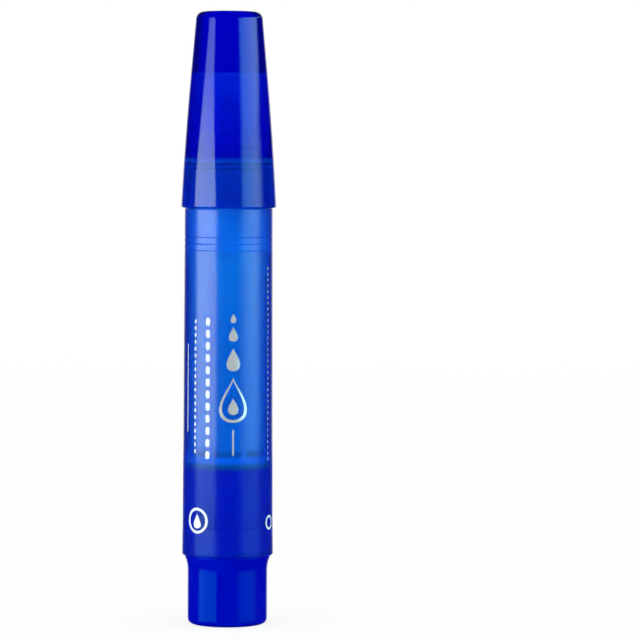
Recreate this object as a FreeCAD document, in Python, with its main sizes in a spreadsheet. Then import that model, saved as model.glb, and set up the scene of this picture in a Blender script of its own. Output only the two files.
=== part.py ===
"""Felt-tip nail oil pen, standing on its tail with its cap on.

Millimetres, with the pen's axis along +Z and the origin in the middle of the tail's foot. A frosted
barrel holds a fibre reservoir that feeds a felt nib, a cap with an inner liner seals the nib, and the
tail is a push-in plug whose hollow sleeve stores spare nibs. Radii grow outwards from what is held
inside through clearances and walls, and heights are stacked upwards from the foot.
"""
import FreeCAD
import Part
import Sketcher
import math
import os
from types import SimpleNamespace

SIZES = {
    # Felt nib
    "nib_diameter": 4.0,
    "nib_length": 26.0,
    "nib_tip_length": 3.4,
    "nib_dome_diameter": 2.4,
    "nib_dome_height": 0.9,
    "nib_point_length": 2.2,
    "nib_point_diameter": 1.6,
    "nib_exposure": 6.7,
    "nib_clearance": 0.05,
    # Fibre reservoir, its film and its air tube
    "reservoir_diameter": 10.7,
    "wrap_thickness": 0.15,
    "wrap_clearance": 0.02,
    "reservoir_clearance": 0.1,
    "reservoir_gap": 0.2,
    "breather_diameter": 1.6,
    "breather_wall": 0.3,
    "breather_clearance": 0.05,
    "breather_reach": 2.0,
    # Front section that holds the nib
    "nose_tip_wall": 0.9,
    "nose_length": 2.6,
    "nose_rounding": 0.35,
    "seal_land_diameter": 9.1,
    "seal_land_length": 3.2,
    "holder_flange_thickness": 0.8,
    "holder_flange_setback": 0.35,
    "holder_roof_thickness": 1.9,
    "nib_tube_wall": 0.9,
    "nib_tube_length": 4.0,
    "vent_count": 4,
    "vent_width": 0.7,
    "vent_depth": 0.4,
    "spigot_length": 16.3,
    "spigot_wall": 0.85,
    "spigot_clearance": 0.05,
    "ring_count": 3,
    "ring_pitch": 1.25,
    "ring_width": 0.7,
    "ring_height": 0.12,
    "ring_offset": 0.8,
    # Barrel
    "barrel_length": 66.3,
    "neck_length": 7.6,
    "neck_wall": 0.9,
    "neck_taper": 0.45,
    "neck_chamfer": 0.25,
    "shoulder_width": 0.69,
    "shoulder_chamfer": 0.15,
    "chamber_draft": 0.15,
    "barrel_floor_thickness": 1.4,
    "barrel_rear_wall": 1.7,
    "barrel_flare": 0.085,
    "barrel_flare_band": 1.5,
    "barrel_flare_length": 6.0,
    "barrel_rear_chamfer": 0.3,
    "rib_count": 6,
    "rib_width": 0.8,
    "rib_setback": 2.0,
    "rib_clearance": 0.1,
    "foot_height": 1.0,
    "foot_reach": 2.4,
    # Tail plug
    "tail_length": 13.3,
    "tail_floor_thickness": 1.8,
    "tail_rounding": 1.1,
    "tail_cove_depth": 0.54,
    "tail_cove_length": 2.7,
    "tail_flange_thickness": 0.3,
    "tail_flange_setback": 0.515,
    "tail_seat_gap": 0.05,
    "foot_ring_width": 3.2,
    "foot_recess_depth": 0.35,
    "store_diameter": 11.5,
    "store_headroom": 2.3,
    "store_gap": 0.8,
    "sleeve_wall": 0.85,
    "sleeve_chamfer": 0.4,
    "sleeve_play": 0.3,
    "plug_land_length": 6.0,
    "plug_clearance": 0.05,
    "spare_count": 3,
    "spare_gap": 0.2,
    "spare_clearance": 0.15,
    # Cap liner
    "seal_clearance": 0.08,
    "liner_wall": 0.6,
    "liner_taper": 0.2,
    "liner_gap": 0.3,
    "liner_flange_thickness": 0.8,
    "liner_clearance": 0.1,
    "liner_headroom": 4.3,
    "liner_roof_thickness": 0.4,
    # Cap
    "cap_length": 37.6,
    "cap_seat_gap": 0.1,
    "cap_clearance": 0.15,
    "cap_mouth_wall": 1.27,
    "cap_rim_rounding": 0.45,
    "cap_flank_swell": 0.09,
    "cap_cone_wall": 2.28,
    "cap_cone_length": 13.2,
    "cap_cone_taper_share": 0.0866,
    "cap_crown_dome": 0.35,
    "cap_crown_rounding": 1.3,
    # Overrun of every cut and joint depth of every rib
    "overrun": 0.4,
}
MATCH_SHARE = 1e-6


class Term:
    """A formula over the sheet's cells, kept as the text that a feature is bound to."""

    def __init__(self, text):
        self.text = text

    def __add__(self, other):
        return Term(f"({self.text} + {as_text(other)})")

    def __sub__(self, other):
        return Term(f"({self.text} - {as_text(other)})")

    def __mul__(self, other):
        return Term(f"({self.text} * {as_text(other)})")

    def __truediv__(self, other):
        return Term(f"({self.text} / {as_text(other)})")

    def __neg__(self):
        return Term(f"(-{self.text})")


def as_text(value):
    """Text of a formula or of a plain number."""
    return value.text if isinstance(value, Term) else str(value)


size = SimpleNamespace(**{name: Term(f"sizes.{name}") for name in SIZES})

# Heights, stacked upwards from the tail's foot
barrel_rear = size.tail_length
tail_flange_top = barrel_rear - size.tail_seat_gap
tail_flange_base = tail_flange_top - size.tail_flange_thickness
tail_cove_base = tail_flange_base - size.tail_cove_length
plug_land_top = tail_flange_top + size.plug_land_length
spare_base = size.tail_floor_thickness + size.spare_clearance
sleeve_top = spare_base + size.nib_length + size.store_headroom
barrel_floor_base = sleeve_top + size.store_gap
chamber_floor = barrel_floor_base + size.barrel_floor_thickness
reservoir_rear = chamber_floor + size.foot_height
shoulder = barrel_rear + size.barrel_length
barrel_mouth = shoulder + size.neck_length
spigot_end = barrel_mouth - size.spigot_length
holder_roof = barrel_mouth - size.holder_roof_thickness
nib_tube_end = holder_roof - size.nib_tube_length
reservoir_front = nib_tube_end - size.reservoir_gap
holder_flange_top = barrel_mouth + size.holder_flange_thickness
nose_root = holder_flange_top + size.seal_land_length
nose_tip = nose_root + size.nose_length
nib_tip = nose_tip + size.nib_exposure
nib_rear = nib_tip - size.nib_length
liner_rim = holder_flange_top + size.liner_gap
cap_step = liner_rim + size.liner_flange_thickness
liner_ceiling = nib_tip + size.liner_headroom
liner_end = liner_ceiling + size.liner_roof_thickness
cap_cavity_end = liner_end + size.liner_clearance
cap_mouth = shoulder + size.cap_seat_gap
cap_top = cap_mouth + size.cap_length
cap_crown_edge = cap_top - size.cap_crown_dome
cap_cone_base = cap_top - size.cap_cone_length

# Radii of the front end, from the reservoir and the nib outwards
nib_radius = size.nib_diameter / 2
nib_bore_radius = nib_radius + size.nib_clearance
nib_tube_radius = nib_bore_radius + size.nib_tube_wall
nose_tip_radius = nib_bore_radius + size.nose_tip_wall
seal_land_radius = size.seal_land_diameter / 2
wrap_radius = size.reservoir_diameter / 2
wrap_bore_radius = wrap_radius - size.wrap_thickness
core_radius = wrap_bore_radius - size.wrap_clearance
breather_radius = size.breather_diameter / 2
breather_offset = core_radius - breather_radius - size.breather_clearance
spigot_bore_radius = wrap_radius + size.reservoir_clearance
spigot_radius = spigot_bore_radius + size.spigot_wall
chamber_radius = spigot_radius + size.spigot_clearance
chamber_floor_radius = chamber_radius - size.chamber_draft
neck_mouth_radius = chamber_radius + size.neck_wall
neck_base_radius = neck_mouth_radius + size.neck_taper
barrel_front_radius = neck_base_radius + size.shoulder_width
holder_flange_radius = neck_mouth_radius - size.holder_flange_setback

# Radii of the tail, from the store of spare nibs outwards
store_radius = size.store_diameter / 2
sleeve_radius = store_radius + size.sleeve_wall
socket_radius = sleeve_radius + size.sleeve_play
plug_land_radius = socket_radius - size.plug_clearance
barrel_rear_radius = socket_radius + size.barrel_rear_wall
barrel_flare_radius = barrel_rear_radius + size.barrel_flare
tail_flange_radius = barrel_flare_radius - size.tail_flange_setback
tail_radius = tail_flange_radius - size.tail_cove_depth
foot_recess_radius = tail_radius - size.foot_ring_width
spare_orbit = store_radius - nib_radius - size.spare_clearance

# Radii of the cap, from the neck and the seal land outwards
cap_bore_radius = neck_base_radius + size.cap_clearance
cap_bore_end_radius = neck_mouth_radius + size.cap_clearance
cap_mouth_radius = cap_bore_radius + size.cap_mouth_wall
liner_mouth_radius = seal_land_radius + size.seal_clearance
liner_ceiling_radius = liner_mouth_radius - size.liner_taper
liner_skirt_radius = liner_mouth_radius + size.liner_wall
liner_end_radius = liner_ceiling_radius + size.liner_wall
liner_flange_radius = cap_bore_end_radius - size.liner_clearance
cap_cavity_radius = liner_skirt_radius + size.liner_clearance
cap_cavity_end_radius = liner_end_radius + size.liner_clearance
cap_cone_radius = cap_cavity_end_radius + size.cap_cone_wall
cap_crown_radius = cap_cone_radius - size.cap_cone_length * size.cap_cone_taper_share


def tangent_bend(reach, rise):
    """Radius of an arc that starts along one axis and ends `reach` aside after `rise`."""
    return (reach * reach + rise * rise) / (reach * 2)


class Pen:
    """The parametric document: its sheet of sizes and one body per piece of the pen."""

    def __init__(self):
        self.document = FreeCAD.newDocument("nail_oil_pen")
        self.sheet = self.document.addObject("Spreadsheet::Sheet", "sizes")
        for row, (name, value) in enumerate(SIZES.items(), 1):
            self.sheet.set(f"A{row}", name)
            self.sheet.set(f"B{row}", str(value))
            self.sheet.setAlias(f"B{row}", name)
        self.document.recompute()
        self.bodies = []

    def value(self, term):
        """Present number of a formula, or the number itself."""
        return float(self.sheet.evalExpression(as_text(term)))

    def body(self, name):
        """New body for one piece, named after its node."""
        body = self.document.addObject("PartDesign::Body", name)
        body.Label = name
        body.Placement = FreeCAD.Placement()
        self.bodies.append(body)
        return body

    def bind(self, holder, path, term):
        """Tie one property or constraint of `holder` to a formula."""
        if isinstance(term, Term):
            holder.setExpression(path, term.text)

    def outline(self, body, name, corners, plane="XZ_Plane", height=0, axis=None):
        """Closed sketch through `corners`, each bound to its formulas.

        A corner is (across, up) after a straight side, or (across, up, bend) after an arc of radius
        `bend`; a fourth entry of "hollow" bends the arc into the solid, which lies to the left of the
        way round. `height` lifts a level sketch, and `axis` adds an upright turning axis there.
        """
        sketch = body.newObject("Sketcher::SketchObject", name)
        sketch.AttachmentSupport = (origin_feature(body, plane), [""])
        sketch.MapMode = "FlatFace"
        self.bind(sketch, "AttachmentOffset.Base.z", height)
        places = [FreeCAD.Vector(self.value(c[0]), self.value(c[1]), 0) for c in corners]
        sides = []
        for index, start in enumerate(places):
            target = (index + 1) % len(places)
            sides.append(self.side(sketch, start, places[target], corners[target][2:]))
        for index, (start_point, end_point) in enumerate(sides):
            target = (index + 1) % len(sides)
            sketch.addConstraint(Sketcher.Constraint("Coincident", index, end_point, target, sides[target][0]))
        for index, corner in enumerate(corners):
            self.pin(sketch, index, sides[index][0], corner[0], corner[1])
            if len(corner) > 2:
                arc = (index - 1) % len(corners)
                bend = sketch.addConstraint(Sketcher.Constraint("Radius", arc, self.value(corner[2])))
                self.bind(sketch, f"Constraints[{bend}]", corner[2])
        if axis is not None:
            ends = [FreeCAD.Vector(self.value(axis), places[end].y, 0) for end in (0, -1)]
            line = sketch.addGeometry(Part.LineSegment(*ends), True)
            for point, end in ((1, 0), (2, -1)):
                self.pin(sketch, line, point, axis, corners[end][1])
        return sketch

    def side(self, sketch, start, end, bend):
        """One side of an outline; gives the numbers of its start and end points."""
        if not bend:
            sketch.addGeometry(Part.LineSegment(start, end), False)
            return 1, 2
        radius = self.value(bend[0])
        hollow = "hollow" in bend
        chord = end - start
        leftward = FreeCAD.Vector(-chord.y, chord.x, 0).normalize()
        depth = math.sqrt(max(radius ** 2 - (chord.Length / 2) ** 2, 0))
        centre = (start + end) / 2 + leftward * (-depth if hollow else depth)
        angles = [math.atan2(point.y - centre.y, point.x - centre.x) for point in (start, end)]
        if hollow:
            angles.reverse()
        circle = Part.Circle(centre, FreeCAD.Vector(0, 0, 1), radius)
        sketch.addGeometry(Part.ArcOfCircle(circle, *angles), False)
        return (2, 1) if hollow else (1, 2)

    def pin(self, sketch, side, point, across, up):
        """Bind one point of a sketch to its distances from the sketch's origin."""
        for kind, term in (("DistanceX", across), ("DistanceY", up)):
            rule = sketch.addConstraint(Sketcher.Constraint(kind, -1, 1, side, point, self.value(term)))
            self.bind(sketch, f"Constraints[{rule}]", term)

    def turn(self, body, name, corners, axis=None):
        """Revolve an upright outline about the pen's axis, or about an upright axis at `axis`."""
        sketch = self.outline(body, f"{name}_outline", corners, axis=axis)
        turned = body.newObject("PartDesign::Revolution", name)
        turned.Profile = sketch
        turned.ReferenceAxis = (sketch, ["V_Axis" if axis is None else "Axis0"])
        self.document.recompute()
        return turned

    def raise_level(self, body, name, corners, height, length, kind="PartDesign::Pad"):
        """Pad a level outline upwards from `height`, or pocket it downwards, by `length`."""
        sketch = self.outline(body, f"{name}_outline", corners, "XY_Plane", height)
        self.document.recompute()
        feature = body.newObject(kind, name)
        feature.Profile = sketch
        self.bind(feature, "Length", length)
        self.document.recompute()
        return feature

    def around(self, body, name, features, count):
        """Repeat features about the pen's axis, over the full turn."""
        pattern = body.newObject("PartDesign::PolarPattern", name)
        pattern.Originals = features
        pattern.Axis = (origin_feature(body, "Z_Axis"), [""])
        pattern.Angle = 360
        self.bind(pattern, "Occurrences", count)
        body.Tip = pattern
        self.document.recompute()
        return pattern

    def ease(self, body, name, rims, amount, kind="PartDesign::Fillet"):
        """Round or chamfer the circular rims at the given radii and heights."""
        base = body.Tip
        edges = [self.rim(base.Shape, across, up) for across, up in rims]
        feature = body.newObject(kind, name)
        feature.Base = (base, edges)
        self.bind(feature, "Radius" if kind == "PartDesign::Fillet" else "Size", amount)
        self.document.recompute()
        return feature

    def rim(self, shape, across, up):
        """Name of the circular edge at one radius and height."""
        near = shape.BoundBox.DiagonalLength * MATCH_SHARE
        for number, edge in enumerate(shape.Edges, 1):
            if edge.Degenerated or not isinstance(edge.Curve, Part.Circle):
                continue
            curve = edge.Curve
            if abs(curve.Radius - self.value(across)) < near and abs(curve.Center.z - self.value(up)) < near:
                return f"Edge{number}"
        raise ValueError(f"no rim at {as_text(across)}, {as_text(up)}")

    def write(self, folder):
        """Check every object and write each body to its own file."""
        self.document.recompute()
        for item in self.document.Objects:
            if {"Invalid", "Error"} & set(item.State):
                raise RuntimeError(f"{item.Name} failed: {item.State}")
        for body in self.bodies:
            if body.Shape.isNull() or not body.Shape.isValid():
                raise RuntimeError(f"{body.Label} has no valid shape")
        os.makedirs(folder, exist_ok=True)
        for body in self.bodies:
            body.Shape.exportStep(f"{folder}/{body.Label}.step")
            print(f"{body.Label}: {len(body.Shape.Solids)} solid(s), {body.Shape.Volume:.1f} mm3")


def origin_feature(body, role):
    """Plane or axis of a body's own origin, by its role."""
    return next(item for item in body.Origin.OriginFeatures if item.Role == role)


def strip(inner, outer, width):
    """Corners of a level strip that points along +X from one radius to another."""
    half = width / 2
    return [(inner, -half), (outer, -half), (outer, half), (inner, half)]


def nib_corners(base, axis=0):
    """Outline of a nib that stands on its pointed rear end at `base`, about an axis at `axis`."""
    tip = base + size.nib_length
    dome_radius = size.nib_dome_diameter / 2
    return [
        (axis, base),
        (size.nib_point_diameter / 2 + axis, base),
        (nib_radius + axis, base + size.nib_point_length),
        (nib_radius + axis, tip - size.nib_tip_length),
        (dome_radius + axis, tip - size.nib_dome_height),
        (axis, tip, tangent_bend(size.nib_dome_height, dome_radius)),
    ]


def snap_rings(wall, width):
    """Corners of the row of ridged rings that rise from a wall, from the lowest upwards."""
    corners = []
    for index in range(SIZES["ring_count"]):
        middle = spigot_end + size.ring_offset + size.ring_pitch * index
        corners += [(wall, middle - width / 2), (wall + size.ring_height, middle), (wall, middle + width / 2)]
    return corners


def nib(pen):
    """Felt bullet nib with a pointed rear end that enters the reservoir."""
    pen.turn(pen.body("nib"), "nib_form", nib_corners(nib_rear))


def spare_nibs(pen):
    """Spare nibs, side by side along the back wall of the tail's store."""
    half_step = Term(f"asin({((nib_radius + size.spare_gap / 2) / spare_orbit).text})")
    for index in range(SIZES["spare_count"]):
        body = pen.body(f"spare_nib_{index + 1}")
        pen.turn(body, f"spare_form_{index + 1}", nib_corners(spare_base, spare_orbit), axis=spare_orbit)
        body.Placement = FreeCAD.Placement(FreeCAD.Vector(), FreeCAD.Rotation(FreeCAD.Vector(0, 0, 1), 90))
        half_steps = Term(str(2 * index + 1)) - size.spare_count
        pen.bind(body, "Placement.Rotation.Angle", Term("90 deg") + half_step * half_steps)


def nib_holder(pen):
    """Front section: spigot with snap rings, flange, seal land and vented nose round the nib's bore."""
    body = pen.body("nib_holder")
    pen.turn(body, "holder_form", [
        (nib_bore_radius, nib_tube_end),
        (nib_tube_radius, nib_tube_end),
        (nib_tube_radius, holder_roof),
        (spigot_bore_radius, holder_roof),
        (spigot_bore_radius, spigot_end),
        (spigot_radius, spigot_end),
        *snap_rings(spigot_radius, size.ring_width),
        (spigot_radius, barrel_mouth),
        (holder_flange_radius, barrel_mouth),
        (holder_flange_radius, holder_flange_top),
        (seal_land_radius, holder_flange_top),
        (seal_land_radius, nose_root),
        (nose_tip_radius, nose_tip),
        (nib_bore_radius, nose_tip),
    ])
    pen.ease(body, "nose_edge", [(nose_tip_radius, nose_tip), (seal_land_radius, nose_root)], size.nose_rounding)
    vent = strip(nib_bore_radius - size.overrun, nib_bore_radius + size.vent_depth, size.vent_width)
    depth = nose_tip - nib_tube_end + size.overrun
    slot = pen.raise_level(body, "vent_slot", vent, nose_tip, depth, "PartDesign::Pocket")
    pen.around(body, "vent_slots", [slot], size.vent_count)


def reservoir_core(pen):
    """Fibre rod with a pocket for the nib's rear end and a slot for the breather tube."""
    body = pen.body("reservoir_core")
    pocket_floor = nib_rear - size.nib_clearance
    pen.turn(body, "core_form", [
        (0, reservoir_rear),
        (core_radius, reservoir_rear),
        (core_radius, reservoir_front),
        (nib_bore_radius, reservoir_front),
        (nib_bore_radius, pocket_floor + size.nib_point_length),
        (size.nib_point_diameter / 2 + size.nib_clearance, pocket_floor),
        (0, pocket_floor),
    ])
    slot = strip(
        breather_offset - breather_radius - size.breather_clearance,
        core_radius + size.overrun,
        size.breather_diameter + size.breather_clearance * 2,
    )
    length = reservoir_front - reservoir_rear
    pen.raise_level(body, "breather_slot", slot, reservoir_front, length, "PartDesign::Pocket")


def reservoir_wrap(pen):
    """Film sleeve round the fibre rod."""
    pen.turn(pen.body("reservoir_wrap"), "wrap_form", [
        (wrap_bore_radius, reservoir_rear),
        (wrap_radius, reservoir_rear),
        (wrap_radius, reservoir_front),
        (wrap_bore_radius, reservoir_front),
    ])


def breather_tube(pen):
    """Thin air tube in the rod's slot, standing out of its front end."""
    bore = breather_radius - size.breather_wall
    front = reservoir_front + size.breather_reach
    corners = [
        (breather_offset + bore, reservoir_rear),
        (breather_offset + breather_radius, reservoir_rear),
        (breather_offset + breather_radius, front),
        (breather_offset + bore, front),
    ]
    pen.turn(pen.body("breather_tube"), "tube_form", corners, axis=breather_offset)


def barrel(pen):
    """Barrel: drafted outside, stepped neck, ribbed reservoir chamber, floor and rear socket."""
    body = pen.body("barrel")
    grooves = snap_rings(chamber_radius, size.ring_width + size.spigot_clearance)
    pen.turn(body, "barrel_form", [
        (0, barrel_floor_base),
        (socket_radius, barrel_floor_base),
        (socket_radius, barrel_rear),
        (barrel_flare_radius, barrel_rear),
        (barrel_flare_radius, barrel_rear + size.barrel_flare_band),
        (barrel_rear_radius, barrel_rear + size.barrel_flare_length),
        (barrel_front_radius, shoulder),
        (neck_base_radius, shoulder),
        (neck_mouth_radius, barrel_mouth),
        (chamber_radius, barrel_mouth),
        *reversed(grooves),
        (chamber_radius, spigot_end),
        (chamber_floor_radius, chamber_floor),
        (0, chamber_floor),
    ])
    chamfer = "PartDesign::Chamfer"
    pen.ease(body, "rear_edge", [(barrel_flare_radius, barrel_rear)], size.barrel_rear_chamfer, chamfer)
    pen.ease(body, "mouth_edge", [(neck_mouth_radius, barrel_mouth)], size.neck_chamfer, chamfer)
    pen.ease(body, "shoulder_edge", [(barrel_front_radius, shoulder)], size.shoulder_chamfer, chamfer)
    rib_inner = wrap_radius + size.rib_clearance
    bite = chamber_radius + size.overrun
    rib_length = spigot_end - size.rib_setback - chamber_floor
    rib = pen.raise_level(body, "rib", strip(rib_inner, bite, size.rib_width), chamber_floor, rib_length)
    foot_strip = strip(wrap_radius - size.foot_reach, bite, size.rib_width)
    foot_base = chamber_floor - size.overrun
    foot = pen.raise_level(body, "foot", foot_strip, foot_base, size.foot_height + size.overrun)
    pen.around(body, "ribs", [rib, foot], size.rib_count)


def tail_plug(pen):
    """Tail with a coved flange under the barrel and a hollow sleeve that fits the barrel's socket."""
    body = pen.body("tail_plug")
    cove = tangent_bend(size.tail_cove_depth, size.tail_cove_length)
    pen.turn(body, "tail_form", [
        (0, size.foot_recess_depth),
        (foot_recess_radius, size.foot_recess_depth),
        (foot_recess_radius, 0),
        (tail_radius, 0),
        (tail_radius, tail_cove_base),
        (tail_flange_radius, tail_flange_base, cove, "hollow"),
        (tail_flange_radius, tail_flange_top),
        (plug_land_radius, tail_flange_top),
        (plug_land_radius, plug_land_top),
        (sleeve_radius, plug_land_top + size.sleeve_play),
        (sleeve_radius, sleeve_top),
        (store_radius, sleeve_top),
        (store_radius, size.tail_floor_thickness),
        (0, size.tail_floor_thickness),
    ])
    pen.ease(body, "foot_edge", [(tail_radius, 0)], size.tail_rounding)
    pen.ease(body, "sleeve_edge", [(sleeve_radius, sleeve_top)], size.sleeve_chamfer, "PartDesign::Chamfer")


def cap_liner(pen):
    """Thin inner cup that seals on the nose's land and closes just above the nib."""
    pen.turn(pen.body("cap_liner"), "liner_form", [
        (liner_mouth_radius, liner_rim),
        (liner_flange_radius, liner_rim),
        (liner_flange_radius, cap_step),
        (liner_skirt_radius, cap_step),
        (liner_end_radius, liner_end),
        (0, liner_end),
        (0, liner_ceiling),
        (liner_ceiling_radius, liner_ceiling),
    ])


def cap_shell(pen):
    """Cap: coned upper part, swelling flank, domed solid crown, liner cavity and tapered mouth bore."""
    body = pen.body("cap_shell")
    flank_middle = (cap_mouth + cap_cone_base) / 2
    flank_radius = (cap_mouth_radius + cap_cone_radius) / 2 + size.cap_flank_swell
    pen.turn(body, "cap_form", [
        (0, cap_cavity_end),
        (cap_cavity_end_radius, cap_cavity_end),
        (cap_cavity_radius, cap_step),
        (cap_bore_end_radius, cap_step),
        (cap_bore_radius, cap_mouth),
        (cap_mouth_radius, cap_mouth),
        (flank_radius, flank_middle),
        (cap_cone_radius, cap_cone_base),
        (cap_crown_radius, cap_crown_edge),
        (0, cap_top, tangent_bend(size.cap_crown_dome, cap_crown_radius)),
    ])
    pen.ease(body, "crown_edge", [(cap_crown_radius, cap_crown_edge)], size.cap_crown_rounding)
    pen.ease(body, "rim_edge", [(cap_mouth_radius, cap_mouth)], size.cap_rim_rounding)


def main():
    """Build every piece of the pen and write it."""
    pen = Pen()
    for piece in (
        tail_plug, spare_nibs, barrel, reservoir_core, reservoir_wrap, breather_tube,
        nib_holder, nib, cap_liner, cap_shell,
    ):
        piece(pen)
    pen.write("parts")


main()
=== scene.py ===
"""Looks and studio of a felt-tip nail oil pen that stands on its tail with its cap on.

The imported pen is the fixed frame. Each sub-assembly is a class that turns finer meshes in place of the
frame's own and dresses them, and the studio adds the floor, the softboxes, the world and the camera.
Lengths in the sub-assemblies are millimetres along and across the pen's upright axis.
"""

import logging
import math
from abc import ABC, abstractmethod
from collections.abc import Iterable, Sequence
from dataclasses import dataclass, replace
from enum import Enum
from functools import cached_property

import bmesh
import bpy
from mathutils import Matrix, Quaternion, Vector


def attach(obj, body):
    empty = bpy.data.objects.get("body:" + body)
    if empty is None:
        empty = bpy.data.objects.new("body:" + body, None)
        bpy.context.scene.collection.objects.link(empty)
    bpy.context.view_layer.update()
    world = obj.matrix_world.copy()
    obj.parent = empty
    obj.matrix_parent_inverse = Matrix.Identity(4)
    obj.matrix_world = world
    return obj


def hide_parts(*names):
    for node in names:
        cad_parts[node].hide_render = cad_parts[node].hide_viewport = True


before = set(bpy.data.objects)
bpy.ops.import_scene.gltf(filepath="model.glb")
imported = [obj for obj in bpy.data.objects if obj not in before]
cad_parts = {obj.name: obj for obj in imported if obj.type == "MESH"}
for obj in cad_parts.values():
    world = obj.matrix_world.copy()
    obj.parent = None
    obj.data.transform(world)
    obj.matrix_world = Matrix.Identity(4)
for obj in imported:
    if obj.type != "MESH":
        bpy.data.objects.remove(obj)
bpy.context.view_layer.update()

Colour = tuple[float, float, float]
Face = bmesh.types.BMFace
Factors = tuple[float, float, float]
Inputs = dict[str | int, object]
Mesh = bmesh.types.BMesh
Outline = list[tuple[float, float] | tuple[float, float, "Rim"]]
Outputs = bpy.types.NodeOutputs
Socket = bpy.types.NodeSocket
Span = tuple[float, float]
Vert = bmesh.types.BMVert

MM = 0.001
NEAR = 0.002
MERGE = 2e-9
TURN_STEPS = 180
FINE_STEPS = 96
BAR_STEPS = (4, 12)
DROP_STEPS = (10, 36)
DROP_SLIMMING = 1.6
DROP_WIDEST = 0.69
SMOOTH_ANGLE = math.radians(32.0)
SNAP_HEIGHTS = (71.7, 72.95, 74.2)
ORIGIN = (0.0, 0.0, 0.0)
UPRIGHT = (0.0, 0.0, 1.0)
WHITE = (1.0, 1.0, 1.0)
LOG = logging.getLogger("nail_oil_pen")


class Body(Enum):
    """The pen's moving bodies."""

    TAIL = "tail"
    BARREL = "barrel"
    CAP = "cap"


class Slot(Enum):
    """The record's material slots."""

    CAP = "cap_plastic"
    TAIL = "tail_plastic"
    BARREL = "barrel_plastic"
    MILKY = "milky_plastic"
    FELT = "nib_felt"
    FIBRE = "reservoir_fibre"
    FILM = "wrap_film"
    FOIL = "print_foil"
    INK = "print_ink"


def part_way(first: float, last: float, share: float) -> float:
    """Value at a share of the way from the first to the last."""
    return first + (last - first) * share


def stations(start: tuple[float, float], end: tuple[float, float], swell: float, count: int) -> Outline:
    """Points of a gently swelling side between two corners.

    Args:
        start: Radius and height of the first corner.
        end: Radius and height of the last corner.
        swell: How far the middle stands out from the straight line.
        count: Number of points between the corners.

    Returns:
        The points between the corners, without the corners.
    """
    points = []
    for index in range(1, count + 1):
        share = index / (count + 1)
        out = part_way(start[0], end[0], share) + 4.0 * swell * share * (1.0 - share)
        points.append((out, part_way(start[1], end[1], share)))
    return points


def dome(radius: float, rise: float, top: float, count: int = 4) -> Outline:
    """Points of a shallow dome inwards to the axis.

    Args:
        radius: Radius of the dome's edge.
        rise: Height of the dome over its edge.
        top: Height of the dome's middle.
        count: Number of points between the edge and the middle.

    Returns:
        The points, without the edge and with the middle.
    """
    shares = [1.0 - index / (count + 1) for index in range(1, count + 2)]
    return [(radius * share, top - rise * share * share) for share in shares]


def bead(radius: float, height: float, half_width: float, rise: float) -> Outline:
    """Points of a fine ring on a round wall from below upwards, or of a groove where the rise is negative."""
    return [(radius, height - half_width), (radius + rise, height), (radius, height + half_width)]


def snap_beads(radius: float, half_width: float, rise: float) -> Outline:
    """Points of a row of beads at the heights where the front section snaps into the barrel."""
    return [point for height in SNAP_HEIGHTS for point in bead(radius, height, half_width, rise)]


def close_seams(mesh: Mesh) -> None:
    """Merge doubled vertices, drop empty faces and point the rest outwards.

    Args:
        mesh: The mesh, which is changed.
    """
    bmesh.ops.remove_doubles(mesh, verts=mesh.verts[:], dist=MERGE)
    bmesh.ops.dissolve_degenerate(mesh, edges=mesh.edges[:], dist=MERGE)
    bmesh.ops.recalc_face_normals(mesh, faces=mesh.faces[:])


def extrude(mesh: Mesh, faces: list[Face]) -> list[Vert]:
    """Draw blocks out of a mesh.

    Args:
        mesh: The mesh.
        faces: The faces that become the blocks' ends.

    Returns:
        The ends' vertices, which are still to be moved.
    """
    raised = bmesh.ops.extrude_face_region(mesh, geom=faces)["geom"]
    ends = [item for item in raised if isinstance(item, Vert)]
    bmesh.ops.delete(mesh, geom=[face for face in faces if face.is_valid], context="FACES_ONLY")
    return ends


def put(name: str, mesh: Mesh, material: bpy.types.Material) -> bpy.types.Object:
    """Make an object of a mesh and put it in the scene.

    Args:
        name: The object's name.
        mesh: Its mesh, which is used up.
        material: Its material.

    Returns:
        The object.
    """
    data = bpy.data.meshes.new(name)
    mesh.to_mesh(data)
    mesh.free()
    data.materials.append(material)
    made = bpy.data.objects.new(name, data)
    bpy.context.scene.collection.objects.link(made)
    return made


@dataclass(frozen=True)
class Rim:
    """Rounding of a circular edge.

    Attributes:
        reach: How far it reaches from the edge.
        segments: Steps across it.
    """

    reach: float
    segments: int = 4


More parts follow.
